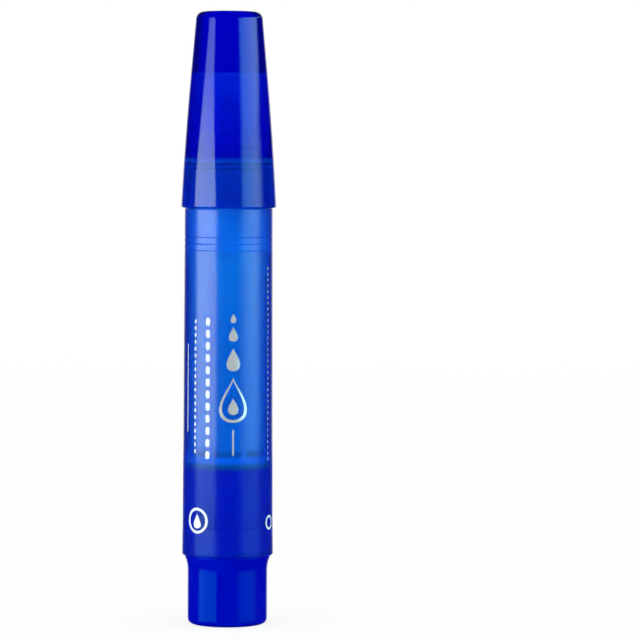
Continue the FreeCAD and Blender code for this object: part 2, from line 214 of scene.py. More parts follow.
@dataclass(frozen=True)
class Lathe:
    """Turns outlines into closed meshes about an upright axis.

    Attributes:
        x: Place of the axis across the pen.
        y: Place of the axis along the view.
        steps: Steps round the full turn.
    """

    x: float = 0.0
    y: float = 0.0
    steps: int = TURN_STEPS

    def turn(self, outline: Outline) -> Mesh:
        """Spin an outline into a closed mesh and round its rims.

        Args:
            outline: Radii and heights, and the rims of rounded corners, as a loop or as a chain whose two
                ends lie on the axis.

        Returns:
            The mesh, with its faces pointing outwards.
        """
        mesh = bmesh.new()
        points = [mesh.verts.new(((self.x + out) * MM, self.y * MM, up * MM)) for out, up, *_ in outline]
        pairs = list(zip(points, points[1:]))
        if outline[0][0] or outline[-1][0]:
            pairs.append((points[-1], points[0]))
        lines = [mesh.edges.new(pair) for pair in pairs]
        bmesh.ops.spin(
            mesh, geom=points + lines, cent=(self.x * MM, self.y * MM, 0.0), axis=UPRIGHT, dvec=ORIGIN,
            angle=math.tau, steps=self.steps, use_merge=True, use_duplicate=False,
        )
        close_seams(mesh)
        for out, up, *rims in outline:
            for rim in rims:
                self.ease(mesh, out, up, rim)
        return mesh

    def ease(self, mesh: Mesh, radius: float, height: float, rim: Rim) -> None:
        """Round a circular edge.

        Args:
            mesh: The turned mesh.
            radius: Radius of the edge.
            height: Height of the edge.
            rim: Its rounding.
        """
        level = [vert for vert in mesh.verts if abs(vert.co.z / MM - height) < NEAR]
        ring = {vert for vert in level if self.on_wall(vert.co, radius)}
        edges = [edge for edge in mesh.edges if ring.issuperset(edge.verts)]
        bmesh.ops.bevel(
            mesh, geom=edges, offset=rim.reach * MM, offset_type="OFFSET", segments=rim.segments,
            profile=0.5, affect="EDGES", material=-1, clamp_overlap=True,
        )

    def on_wall(self, place: Vector, radius: float) -> bool:
        """Whether a place lies on a round wall."""
        return abs(math.hypot(place.x / MM - self.x, place.y / MM - self.y) - radius) < NEAR

    def in_sector(self, place: Vector, count: int, width: float) -> bool:
        """Whether a place lies in one of some evenly spaced sectors.

        Args:
            place: The place.
            count: Number of sectors, the first of them about +X.
            width: Width of a sector in degrees.

        Returns:
            True in a sector.
        """
        turn = math.degrees(math.atan2(place.y / MM - self.y, place.x / MM - self.x))
        pitch = 360.0 / count
        return abs((turn + pitch / 2) % pitch - pitch / 2) < width / 2

    def draw_wall(self, mesh: Mesh, radius: float, to_radius: float, count: int, width: float) -> None:
        """Draw sectors of a round wall to another radius.

        Args:
            mesh: The turned mesh.
            radius: Radius of the wall.
            to_radius: Radius that its sectors get.
            count: Number of sectors.
            width: Width of a sector in degrees.
        """
        for vert in mesh.verts:
            if self.on_wall(vert.co, radius) and self.in_sector(vert.co, count, width):
                vert.co.xy *= to_radius / radius


@dataclass(frozen=True)
class Graph:
    """A node tree and the short calls that fill it."""

    tree: bpy.types.NodeTree

    @classmethod
    def fresh(cls, owner: bpy.types.Material | bpy.types.World) -> "Graph":
        """Graph of a material or a world, emptied.

        Args:
            owner: The material or the world.

        Returns:
            The graph.
        """
        owner.use_nodes = True
        owner.node_tree.nodes.clear()
        return cls(owner.node_tree)

    def add(self, kind: str, inputs: Inputs | None = None, **settings: object) -> bpy.types.Node:
        """Add a node.

        Args:
            kind: The node's type.
            inputs: Values or links for its inputs, by name or number.
            settings: Values for its own properties.

        Returns:
            The node.
        """
        node = self.tree.nodes.new(kind)
        for name, value in settings.items():
            setattr(node, name, value)
        for name, value in (inputs or {}).items():
            socket = node.inputs[name]
            if isinstance(value, Socket):
                self.tree.links.new(value, socket)
            else:
                socket.default_value = (*value, 1.0) if socket.type == "RGBA" else value
        return node

    def maths(self, operation: str, *values: object, clamp: bool = False) -> Socket:
        """Result of a Math node over links or numbers."""
        node = self.add("ShaderNodeMath", dict(enumerate(values)), operation=operation, use_clamp=clamp)
        return node.outputs[0]

    def remap(
        self, value: Socket, low: float, high: float, to_low: object = 0.0, to_high: object = 1.0
    ) -> Socket:
        """Value carried smoothly from one range to another and held at its ends."""
        ends = {"Value": value, "From Min": low, "From Max": high, "To Min": to_low, "To Max": to_high}
        return self.add("ShaderNodeMapRange", ends, interpolation_type="SMOOTHSTEP").outputs["Result"]

    def mix(self, share: Socket, first: Colour, second: Colour) -> Socket:
        """Mixture of two colours."""
        return self.add("ShaderNodeMix", {0: share, 6: first, 7: second}, data_type="RGBA").outputs[2]

    def noise(self, place: Socket, scale: float | Socket, detail: float, rough: float = 0.5) -> Socket:
        """Noise at a place, with the scale per metre."""
        inputs = {"Vector": place, "Scale": scale, "Detail": detail, "Roughness": rough}
        return self.add("ShaderNodeTexNoise", inputs).outputs["Fac"]

    def stretch(self, place: Socket, factors: Factors) -> Socket:
        """Place scaled along its axes, so that a pattern is drawn out."""
        return self.add("ShaderNodeMapping", {"Vector": place, "Scale": factors}).outputs["Vector"]

    def parts(self, place: Socket) -> Outputs:
        """Parts of a place along X, Y and Z."""
        return self.add("ShaderNodeSeparateXYZ", {0: place}).outputs

    def axis_distance(self, place: Socket) -> Socket:
        """Distance of a place from the pen's axis."""
        level = self.stretch(place, (1.0, 1.0, 0.0))
        return self.add("ShaderNodeVectorMath", {0: level}, operation="LENGTH").outputs["Value"]

    def between(self, up: Socket, heights: Span) -> Socket:
        """1 between two heights in millimetres and 0 elsewhere."""
        over = self.maths("GREATER_THAN", up, heights[0] * MM)
        return self.maths("MULTIPLY", over, self.maths("LESS_THAN", up, heights[1] * MM))

    def bump(self, height: Socket, depth: float) -> Socket:
        """Normal from a height, with the depth in metres."""
        return self.add("ShaderNodeBump", {"Height": height, "Distance": depth}).outputs[0]


@dataclass
class Effects:
    """Surface effects that several finishes share, each built once as a node group."""

    ripple_scale: float = 0.06
    grain_share: float = 0.35
    ripple_tones: Span = (0.35, 0.65)
    scuff_limit: float = 0.78
    scuff_gain: float = 0.12
    scuff_sharpness: float = 14.0
    scuff_runs: tuple[Factors, Factors] = ((90.0, 90.0, 5200.0), (2600.0, 2600.0, 70.0))
    patch_scale: float = 160.0
    patch_span: Span = (0.42, 0.62)
    strand_run: Factors = (1.0, 1.0, 0.035)
    bundle_scale: float = 0.18
    strand_share: float = 0.6
    strand_tones: Span = (0.32, 0.68)
    break_scale: float = 700.0
    break_span: Span = (0.38, 0.6)
    rub_least: float = 0.1

    @staticmethod
    def start(name: str, presets: dict[str, float], outputs: Sequence[str]) -> tuple:
        """Open a node group that takes a place and some numbers.

        Args:
            name: The group's name.
            presets: Preset of each number, by name.
            outputs: Names of the outputs.

        Returns:
            The group's graph, the place and the numbers.
        """
        tree = bpy.data.node_groups.new(name, "ShaderNodeTree")
        tree.interface.new_socket("Vector", in_out="INPUT", socket_type="NodeSocketVector")
        for label, preset in presets.items():
            number = tree.interface.new_socket(label, in_out="INPUT", socket_type="NodeSocketFloat")
            number.default_value = preset
        for label in outputs:
            tree.interface.new_socket(label, in_out="OUTPUT", socket_type="NodeSocketFloat")
        graph = Graph(tree)
        return graph, *graph.add("NodeGroupInput").outputs[:1 + len(presets)]

    @cached_property
    def moulded_skin(self) -> bpy.types.NodeTree:
        """Fine grain over a slow ripple, as moulded plastic has.

        Returns:
            The node group, which gives a height and a tone.
        """
        graph, place, scale = self.start("moulded_skin", {"Scale": 1500.0}, ("Height", "Tone"))
        fine = graph.noise(place, scale, detail=4.0, rough=0.6)
        slow = graph.noise(place, graph.maths("MULTIPLY", scale, self.ripple_scale), detail=2.0)
        height = graph.maths("MULTIPLY_ADD", fine, self.grain_share, slow)
        graph.add("NodeGroupOutput", {"Height": height, "Tone": graph.remap(slow, *self.ripple_tones)})
        return graph.tree

    @cached_property
    def hairline_scuffs(self) -> bpy.types.NodeTree:
        """Sparse fine scuffs from handling, some round the pen and some along it.

        Returns:
            The node group, which gives a mask.
        """
        graph, place, amount = self.start("hairline_scuffs", {"Amount": 0.5}, ("Mask",))
        threshold = graph.maths("MULTIPLY_ADD", amount, -self.scuff_gain, self.scuff_limit)
        masks = []
        for factors in self.scuff_runs:
            lines = graph.noise(graph.stretch(place, factors), 1.0, detail=2.0, rough=0.4)
            above = graph.maths("SUBTRACT", lines, threshold)
            masks.append(graph.maths("MULTIPLY", above, self.scuff_sharpness, clamp=True))
        patches = graph.remap(graph.noise(place, self.patch_scale, detail=2.0), *self.patch_span)
        mask = graph.maths("MULTIPLY", graph.maths("MAXIMUM", *masks), patches)
        graph.add("NodeGroupOutput", {"Mask": mask})
        return graph.tree

    @cached_property
    def fibre_strands(self) -> bpy.types.NodeTree:
        """Bundled strands that run along the pen.

        Returns:
            The node group, which gives a height and a tone.
        """
        graph, place, pitch = self.start("fibre_strands", {"Pitch": 6000.0}, ("Height", "Tone"))
        drawn = graph.stretch(place, self.strand_run)
        fine = graph.noise(drawn, pitch, detail=3.0, rough=0.65)
        bundles = graph.noise(drawn, graph.maths("MULTIPLY", pitch, self.bundle_scale), detail=2.0)
        height = graph.maths("MULTIPLY_ADD", bundles, self.strand_share, fine)
        rest = graph.maths("MULTIPLY", bundles, 1.0 - self.strand_share)
        tone = graph.remap(graph.maths("MULTIPLY_ADD", fine, self.strand_share, rest), *self.strand_tones)
        graph.add("NodeGroupOutput", {"Height": height, "Tone": tone})
        return graph.tree

    @cached_property
    def rim_rub(self) -> bpy.types.NodeTree:
        """Rubbing close to one height, broken up so that it is no clean band.

        Returns:
            The node group, which gives a mask.
        """
        graph, place, height, width = self.start("rim_rub", {"Height": 0.0, "Width": 0.0006}, ("Mask",))
        away = graph.maths("ABSOLUTE", graph.maths("SUBTRACT", graph.parts(place)["Z"], height))
        band = graph.maths("SUBTRACT", 1.0, graph.maths("DIVIDE", away, width), clamp=True)
        cloud = graph.noise(place, self.break_scale, detail=4.0, rough=0.6)
        breaks = graph.remap(cloud, *self.break_span, self.rub_least)
        graph.add("NodeGroupOutput", {"Mask": graph.maths("MULTIPLY", band, breaks)})
        return graph.tree

    @staticmethod
    def use(graph: Graph, tree: bpy.types.NodeTree, **inputs: object) -> Outputs:
        """Outputs of a group that is placed in a material with its own values."""
        return graph.add("ShaderNodeGroup", inputs, node_tree=tree).outputs


@dataclass(frozen=True)
class Finish(ABC):
    """A surface finish.

    Attributes:
        name: The material's name.
        slot: The record's slot that it belongs to, which is not used.
    """

    name: str
    slot: Slot

    def material(self, effects: Effects) -> bpy.types.Material:
        """Material of this finish, made on first use.

        Args:
            effects: The shared node groups.

        Returns:
            The material.
        """
        made = bpy.data.materials.get(self.name)
        if made is None:
            made = bpy.data.materials.new(self.name)
            graph = Graph.fresh(made)
            place = graph.add("ShaderNodeTexCoord").outputs["Object"]
            shader = graph.add("ShaderNodeBsdfPrincipled", self.dress(graph, place, effects))
            graph.add("ShaderNodeOutputMaterial", {"Surface": shader.outputs[0], **self.inside(graph)})
        return made

    @abstractmethod
    def dress(self, graph: Graph, place: Socket, effects: Effects) -> Inputs:
        """What the finish sets on the material's Principled shader.

        Args:
            graph: The material's graph.
            place: Object coordinates.
            effects: The shared node groups.

        Returns:
            Values and links for the shader's own sockets.
        """

    def inside(self, graph: Graph) -> Inputs:
        """What the finish sets on the material's output for the inside of a piece, which is nothing here."""
        return {}


@dataclass(frozen=True, kw_only=True)
class MouldedPlastic(Finish):
    """Plastic with a moulded, slightly worn skin.

    Attributes:
        roughness: Lowest roughness of the surface.
        unevenness: Extra roughness where the skin is dull.
        scuffs: Extra roughness on scuffs and rubbed rims.
        scuff_amount: How many scuffs there are.
        grain_scale: Grain per metre.
        grain_depth: Depth of the grain in metres.
        specular_level: Strength of reflections, 0.5 as the refraction gives.
        specular_tint: Colour of straight reflections.
        rub_height: Height of the rim that is rubbed, in millimetres.
    """

    roughness: float
    unevenness: float
    scuffs: float
    scuff_amount: float
    grain_scale: float
    grain_depth: float
    specular_level: float = 0.5
    specular_tint: Colour = WHITE
    rub_height: float

    def skin(self, graph: Graph, place: Socket, effects: Effects) -> tuple[Inputs, Socket, Socket]:
        """What the skin sets on the shader.

        Args:
            graph: The material's graph.
            place: Object coordinates.
            effects: The shared node groups.

        Returns:
            Values and links for the shader's own sockets, the skin's tone and the mask of its worn places.
        """
        skin = effects.use(graph, effects.moulded_skin, Vector=place, Scale=self.grain_scale)
        scuffs = effects.use(graph, effects.hairline_scuffs, Vector=place, Amount=self.scuff_amount)
        rub = effects.use(graph, effects.rim_rub, Vector=place, Height=self.rub_height * MM)
        worn = graph.maths("MAXIMUM", scuffs["Mask"], rub["Mask"])
        dull = graph.maths("MULTIPLY_ADD", skin["Tone"], self.unevenness, self.roughness)
        inputs = {
            "Roughness": graph.maths("MULTIPLY_ADD", worn, self.scuffs, dull),
            "Normal": graph.bump(skin["Height"], self.grain_depth),
            "Specular IOR Level": self.specular_level,
            "Specular Tint": self.specular_tint,
        }
        return inputs, skin["Tone"], worn


@dataclass(frozen=True, kw_only=True)
class TintedPlastic(MouldedPlastic):
    """See-through plastic that is coloured all through.

    Attributes:
        absorption: Light lost per metre in red, green and blue.
        skin_radius: Radius in millimetres inside which the surface is polished.
        skin_fade: Distance in millimetres over which the polish gives way to the skin.
        polish: Roughness of the polished surface.
        gloss: Weight of the glossy skin over a hazy surface.
        gloss_roughness: Roughness of the glossy skin.
        gloss_low: Weight of the glossy skin under the heights where it fades in.
        gloss_heights: Heights in millimetres between which the glossy skin fades in.
        wet_radius: Radius in millimetres inside which oil or a tight fit wets the walls.
        wet_show: How much the wetted walls still show.
        wet_taper: How much the wetted radius shrinks for each millimetre upwards.
        wet_heights: Heights in millimetres between which the walls are wetted.
        refraction: Index of refraction.
    """

    absorption: Colour
    skin_radius: float
    scuff_amount: float = 0.6
    skin_fade: float = 0.1
    polish: float = 0.03
    gloss: float = 0.0
    gloss_roughness: float = 0.03
    gloss_low: float = 0.0
    gloss_heights: Span = (-1.0, 0.0)
    wet_radius: float
    wet_show: float = 0.05
    wet_taper: float = 0.0
    wet_heights: Span = (0.0, 1000.0)
    refraction: float = 1.49

    def dress(self, graph: Graph, place: Socket, effects: Effects) -> Inputs:
        """Values and links of a clear shader under the moulded skin.

        Args:
            graph: The material's graph.
            place: Object coordinates.
            effects: The shared node groups.

        Returns:
            Values and links for the shader's own sockets.
        """
        inputs, _, _ = self.skin(graph, place, effects)
        edge = self.skin_radius * MM
        out, up = graph.axis_distance(place), graph.parts(place)["Z"]
        if self.gloss:
            low, high = (height * MM for height in self.gloss_heights)
            inputs["Coat Weight"] = graph.remap(up, low, high, self.gloss_low, self.gloss)
        return inputs | {
            "Base Color": WHITE,
            "Transmission Weight": 1.0,
            "IOR": self.refraction,
            "Coat Roughness": self.gloss_roughness,
            "Roughness": graph.remap(out, edge - self.skin_fade * MM, edge, self.polish, inputs["Roughness"]),
            "Alpha": self.shown(graph, out, up),
        }

    def shown(self, graph: Graph, out: Socket, up: Socket) -> Socket:
        """How much of the wall shows, which is little where it is wetted.

        Args:
            graph: The material's graph.
            out: Distance from the pen's axis.
            up: Height on the pen.

        Returns:
            1 on the bare skin and the finish's own small value on wetted walls.
        """
        lift = graph.maths("SUBTRACT", up, self.wet_heights[0] * MM)
        leaned = graph.maths("MULTIPLY_ADD", lift, self.wet_taper, out)
        wetted = graph.maths("LESS_THAN", leaned, self.wet_radius * MM)
        wet = graph.maths("MULTIPLY", wetted, graph.between(up, self.wet_heights))
        return graph.remap(wet, 0.0, 1.0, 1.0, self.wet_show)

    def inside(self, graph: Graph) -> Inputs:
        """Absorption all through the plastic.

        Args:
            graph: The material's graph.

        Returns:
            The link for the output's own socket.
        """
        most = max(self.absorption)
        kept = tuple(1.0 - loss / most for loss in self.absorption)
        volume = graph.add("ShaderNodeVolumeAbsorption", {"Color": kept, "Density": most})
        return {"Volume": volume.outputs[0]}


@dataclass(frozen=True, kw_only=True)
class SolidPlastic(MouldedPlastic):
    """Plastic that lets little or no light through.

    Attributes:
        colour: Its usual colour.
        wear_and_shade_colour: Its colour where it is thin, rubbed or soaked, and the colour of its painted
            shade.
        tone_share: How far the skin's tone brings out that second colour.
        worn_share: How far wear brings it out.
        glow: Share of light that passes through.
        painted_shade_heights: Heights in millimetres between which that second colour is painted all over as
            shade.
    """

    colour: Colour
    wear_and_shade_colour: Colour
    scuffs: float = 0.15
    scuff_amount: float = 0.5
    tone_share: float = 0.35
    worn_share: float = 0.5
    glow: float = 0.0
    painted_shade_heights: Span | None = None

    def dress(self, graph: Graph, place: Socket, effects: Effects) -> Inputs:
        """Values and links of an uneven moulded skin.

        Args:
            graph: The material's graph.
            place: Object coordinates.
            effects: The shared node groups.

        Returns:
            Values and links for the shader's own sockets.
        """
        inputs, tone, worn = self.skin(graph, place, effects)
        uneven = graph.maths("MULTIPLY", tone, self.tone_share)
        share = graph.maths("MULTIPLY_ADD", worn, self.worn_share, uneven, clamp=True)
        # Painted shade: between these heights the whole surface takes the second colour.
        if self.painted_shade_heights:
            share = graph.maths("MAXIMUM", share, graph.between(graph.parts(place)["Z"], self.painted_shade_heights))
        colour = graph.mix(share, self.colour, self.wear_and_shade_colour)
        return inputs | {"Base Color": colour, "Transmission Weight": self.glow}


@dataclass(frozen=True)
class FibreStock(Finish):
    """Bonded or felted fibre whose strands run along the pen.

    Attributes:
        light: Colour of the strands.
        dark: Colour between the strands.
        pitch: Strands per metre.
        depth: Depth between the strands in metres.
        roughness: Roughness between the strands and on them.
        specular_level: Strength of reflections.
        sheen: Weight of the loose ends' sheen.
        sheen_roughness: Roughness of that sheen.
    """

    light: Colour
    dark: Colour
    pitch: float
    depth: float = 3e-5
    roughness: Span = (0.95, 0.75)
    specular_level: float = 0.2
    sheen: float = 0.15
    sheen_roughness: float = 0.5

    def dress(self, graph: Graph, place: Socket, effects: Effects) -> Inputs:
        """Values and links of the strands.

        Args:
            graph: The material's graph.
            place: Object coordinates.
            effects: The shared node groups.

        Returns:
            Values and links for the shader's own sockets.
        """
        strands = effects.use(graph, effects.fibre_strands, Vector=place, Pitch=self.pitch)
        return {
            "Base Color": graph.mix(strands["Tone"], self.dark, self.light),
            "Roughness": graph.remap(strands["Tone"], 0.0, 1.0, *self.roughness),
            "Normal": graph.bump(strands["Height"], self.depth),
            "Specular IOR Level": self.specular_level,
            "Sheen Weight": self.sheen,
            "Sheen Roughness": self.sheen_roughness,
        }


@dataclass(frozen=True)
class ClearFilm(Finish):
    """Thin clear film with slight cloudiness.

    Attributes:
        colour: Its cast.
        cover: Share of what is behind it that it hides.
        open_share: How much of that cover its clearest places keep.
        roughness: Roughness where it is clear and where it is cloudy.
        grain_scale: Grain per metre.
        grain_depth: Depth of the grain in metres.
    """

    colour: Colour
    cover: float
    open_share: float = 0.7
    roughness: Span = (0.12, 0.28)
    grain_scale: float = 1800.0
    grain_depth: float = 4e-6

    def dress(self, graph: Graph, place: Socket, effects: Effects) -> Inputs:
        """Values and links of a cloudy, mostly open skin.

        Args:
            graph: The material's graph.
            place: Object coordinates.
            effects: The shared node groups.

        Returns:
            Values and links for the shader's own sockets.
        """
        skin = effects.use(graph, effects.moulded_skin, Vector=place, Scale=self.grain_scale)
        return {
            "Base Color": self.colour,
            "Roughness": graph.remap(skin["Tone"], 0.0, 1.0, *self.roughness),
            "Alpha": graph.remap(skin["Tone"], 0.0, 1.0, self.cover * self.open_share, self.cover),
            "Normal": graph.bump(skin["Height"], self.grain_depth),
        }


@dataclass(frozen=True)
class PrintLayer(Finish):
    """Printed or stamped layer on the barrel.

    Attributes:
        colour: Its usual colour.
        worn: Its colour where the print is thin.
        metallic: 0 for ink, and more for foil with its clear lacquer.
        roughness: Lowest roughness of the surface.
        grain_depth: Depth of the grain in metres.
        grain_scale: Grain per metre.
        scuff_amount: How many scuffs there are.
        tone_share: How far the skin's tone thins the print.
        worn_roughness: Extra roughness where the print is thin.
    """

    colour: Colour
    worn: Colour
    metallic: float
    roughness: float
    grain_depth: float = 5e-6
    grain_scale: float = 3200.0
    scuff_amount: float = 0.9
    tone_share: float = 0.3
    worn_roughness: float = 0.25

    def dress(self, graph: Graph, place: Socket, effects: Effects) -> Inputs:
        """Values and links of a slightly patchy layer.

        Args:
            graph: The material's graph.
            place: Object coordinates.
            effects: The shared node groups.

        Returns:
            Values and links for the shader's own sockets.
        """
        skin = effects.use(graph, effects.moulded_skin, Vector=place, Scale=self.grain_scale)
        scuffs = effects.use(graph, effects.hairline_scuffs, Vector=place, Amount=self.scuff_amount)
        thin = graph.maths("MULTIPLY", skin["Tone"], self.tone_share)
        share = graph.maths("MAXIMUM", scuffs["Mask"], thin)
        return {
            "Metallic": self.metallic,
            "Base Color": graph.mix(share, self.colour, self.worn),
            "Roughness": graph.maths("MULTIPLY_ADD", share, self.worn_roughness, self.roughness),
            "Normal": graph.bump(skin["Height"], self.grain_depth),
        }


CAP_PLASTIC = TintedPlastic(
    "cap_clear_blue", Slot.CAP, absorption=(2400.0, 820.0, 46.0), roughness=0.02, unevenness=0.03,
    scuffs=0.16, grain_scale=900.0, grain_depth=3e-6, specular_tint=(0.85, 1.0, 1.0), rub_height=79.9,
    skin_radius=5.0, wet_radius=8.45, wet_taper=0.08, wet_heights=(79.8, 105.5), wet_show=0.2,
)
BARREL_PLASTIC = TintedPlastic(
    "barrel_frosted_blue", Slot.BARREL, absorption=(3500.0, 370.0, 36.0), roughness=0.5, unevenness=0.08,
    scuffs=0.1, grain_scale=5200.0, grain_depth=5e-6, specular_tint=(0.0, 0.35, 0.5), rub_height=13.5,
    skin_radius=8.0, polish=0.5, gloss=1.0, gloss_roughness=0.22, gloss_low=0.3, gloss_heights=(30.0, 36.0),
    wet_radius=7.1,
)
TAIL_PLASTIC = SolidPlastic(
    "tail_deep_blue", Slot.TAIL, colour=(0.0, 0.0015, 0.45), wear_and_shade_colour=(0.0, 0.004, 0.54), roughness=0.1,
    unevenness=0.05, grain_scale=2400.0, grain_depth=3e-6, specular_level=0.13, specular_tint=(0.0, 0.7, 1.0),
    rub_height=0.6,
)
MILKY_PLASTIC = SolidPlastic(
    "milky_natural", Slot.MILKY, colour=(0.9, 0.93, 0.97), wear_and_shade_colour=(0.95, 0.97, 0.99), roughness=0.35,
    unevenness=0.12, grain_scale=2600.0, grain_depth=6e-6, rub_height=91.2, glow=0.12,
)
# The holder's flange band is painted shade in dark blue, so that the flange stays dark in the gap between the
# barrel's mouth and the cap's liner.
HOLDER_PLASTIC = replace(
    MILKY_PLASTIC, name="holder_natural", colour=(0.72, 0.8, 0.98), wear_and_shade_colour=(0.2, 0.22, 0.58),
    painted_shade_heights=(87.1, 88.05),
)
BARREL_FLOOR = replace(
    MILKY_PLASTIC, name="barrel_floor_cloudy", slot=Slot.BARREL, colour=(0.35, 0.78, 0.96),
    wear_and_shade_colour=(0.28, 0.7, 0.94), roughness=0.4, unevenness=0.1, specular_level=0.3, rub_height=33.4,
)
NIB_FELT = FibreStock("nib_felt", Slot.FELT, light=(0.32, 0.36, 0.72), dark=(0.2, 0.23, 0.56), pitch=9000.0)
RESERVOIR_FIBRE = FibreStock(
    "reservoir_fibre", Slot.FIBRE, light=(0.97, 0.98, 0.99), dark=(0.86, 0.89, 0.94), pitch=6500.0,
)
LINER_FILM = ClearFilm("liner_natural", Slot.MILKY, colour=(0.42, 0.54, 0.76), cover=0.23)
WRAP_FILM = ClearFilm("wrap_film", Slot.FILM, colour=(0.93, 0.96, 1.0), cover=0.22)
PRINT_FOIL = PrintLayer(
    "print_foil", Slot.FOIL, colour=(0.88, 0.84, 0.93), worn=(0.56, 0.59, 0.74), metallic=0.5, roughness=0.26,
    grain_depth=4e-5,
)
PRINT_INK = PrintLayer(
    "print_ink", Slot.INK, colour=(0.86, 0.89, 0.95), worn=(0.5, 0.62, 0.88), metallic=0.0, roughness=0.5,
)


@dataclass(frozen=True)
class Workshop:
    """Makes finished pieces from meshes.

    Attributes:
        effects: The shared node groups.
    """

    effects: Effects

    def piece(self, name: str, mesh: Mesh, finish: Finish, body: Body, *nodes: str) -> None:
        """Make an object of a mesh, dress it and let it ride.

        Args:
            name: The piece's name.
            mesh: Its mesh, which is used up.
            finish: Its finish.
            body: The body that it rides on.
            nodes: The frame's nodes that it stands for.
        """
        for face in mesh.faces:
            face.smooth = True
        made = put(name, mesh, finish.material(self.effects))
        made.data.set_sharp_from_angle(angle=SMOOTH_ANGLE)
        weighted = made.modifiers.new("flat_flanks", "WEIGHTED_NORMAL")
        weighted.keep_sharp = True
        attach(made, body.value)
        if nodes:
            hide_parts(*nodes)
        LOG.info("%s: %d faces on %s", name, len(made.data.polygons), body.value)


@dataclass(frozen=True)
class Nib:
    """Felt bullet nib with a pointed rear end, standing on that end.

    Attributes:
        base: Height of the rear end.
        x: Place of its axis across the pen.
        y: Place of its axis along the view.
    """

    base: float
    x: float = 0.0
    y: float = 0.0
    length: float = 26.0
    radius: float = 2.0
    point_radius: float = 0.8
    point_length: float = 2.2
    tip_length: float = 3.4
    dome_radius: float = 1.2
    dome_rise: float = 0.9

    def mesh(self) -> Mesh:
        """Turn the nib, with its tip eased into a bullet.

        Returns:
            The mesh.
        """
        tip = self.base + self.length
        return Lathe(self.x, self.y, FINE_STEPS).turn([
            (0.0, self.base),
            (self.point_radius, self.base, Rim(0.3)),
            (self.radius, self.base + self.point_length, Rim(0.4)),
            (self.radius, tip - self.tip_length, Rim(1.2, segments=6)),
            (self.dome_radius, tip - self.dome_rise),
            *dome(self.dome_radius, self.dome_rise, tip),
        ])


@dataclass(frozen=True)
class Cap:
    """Tapered clear cap with a solid crown, and the milky liner inside it."""

    mouth: float = 79.7
    mouth_radius: float = 9.1
    bore_radius: float = 7.85
    bore_end_radius: float = 7.4
    step: float = 89.1
    cavity_radius: float = 5.33
    cavity_end_radius: float = 5.13
    cavity_end: float = 105.3
    cone_base: float = 104.1
    cone_radius: float = 7.41
    flank_swell: float = 0.115
    crown: float = 116.95
    crown_radius: float = 6.267
    crown_rise: float = 0.35
    liner_rim: float = 88.3
    liner_flange_top: float = 89.08
    liner_flange_radius: float = 7.3
    liner_radius: float = 4.63
    liner_end_radius: float = 4.43
    liner_wall: float = 0.6
    liner_roof: float = 0.4
    liner_ceiling: float = 104.8

    def shell(self) -> Mesh:
        """Turn the cap.

        Returns:
            The mesh.
        """
        lip = (self.mouth_radius, self.mouth)
        cone = (self.cone_radius, self.cone_base)
        return Lathe().turn([
            (0.0, self.cavity_end),
            (self.cavity_end_radius, self.cavity_end, Rim(0.35)),
            (self.cavity_radius, self.step, Rim(0.1, segments=3)),
            (self.bore_end_radius, self.step),
            (self.bore_radius, self.mouth, Rim(0.12, segments=3)),
            (*lip, Rim(0.42, segments=6)),
            *stations(lip, cone, self.flank_swell, count=9),
            cone,
            (self.crown_radius, self.crown, Rim(1.2, segments=8)),
            *dome(self.crown_radius, self.crown_rise, self.crown + self.crown_rise),
        ])

    def liner(self) -> Mesh:
        """Turn the liner.

        Returns:
            The mesh.
        """
        end = self.liner_ceiling + self.liner_roof
        return Lathe().turn([
            (0.0, self.liner_ceiling),
            (self.liner_end_radius, self.liner_ceiling, Rim(0.3)),
            (self.liner_radius, self.liner_rim, Rim(0.2)),
            (self.liner_flange_radius, self.liner_rim, Rim(0.12, segments=3)),
            (self.liner_flange_radius, self.liner_flange_top, Rim(0.12, segments=3)),
            (self.liner_radius + self.liner_wall, self.liner_flange_top),
            (self.liner_end_radius + self.liner_wall, end, Rim(0.45)),
            (0.0, end),
        ])

    def build(self, shop: Workshop) -> None:
        """Make the cap's pieces."""
        shop.piece("cap_clear_shell", self.shell(), CAP_PLASTIC, Body.CAP, "cap_shell")
        shop.piece("cap_milky_liner", self.liner(), LINER_FILM, Body.CAP, "cap_liner")


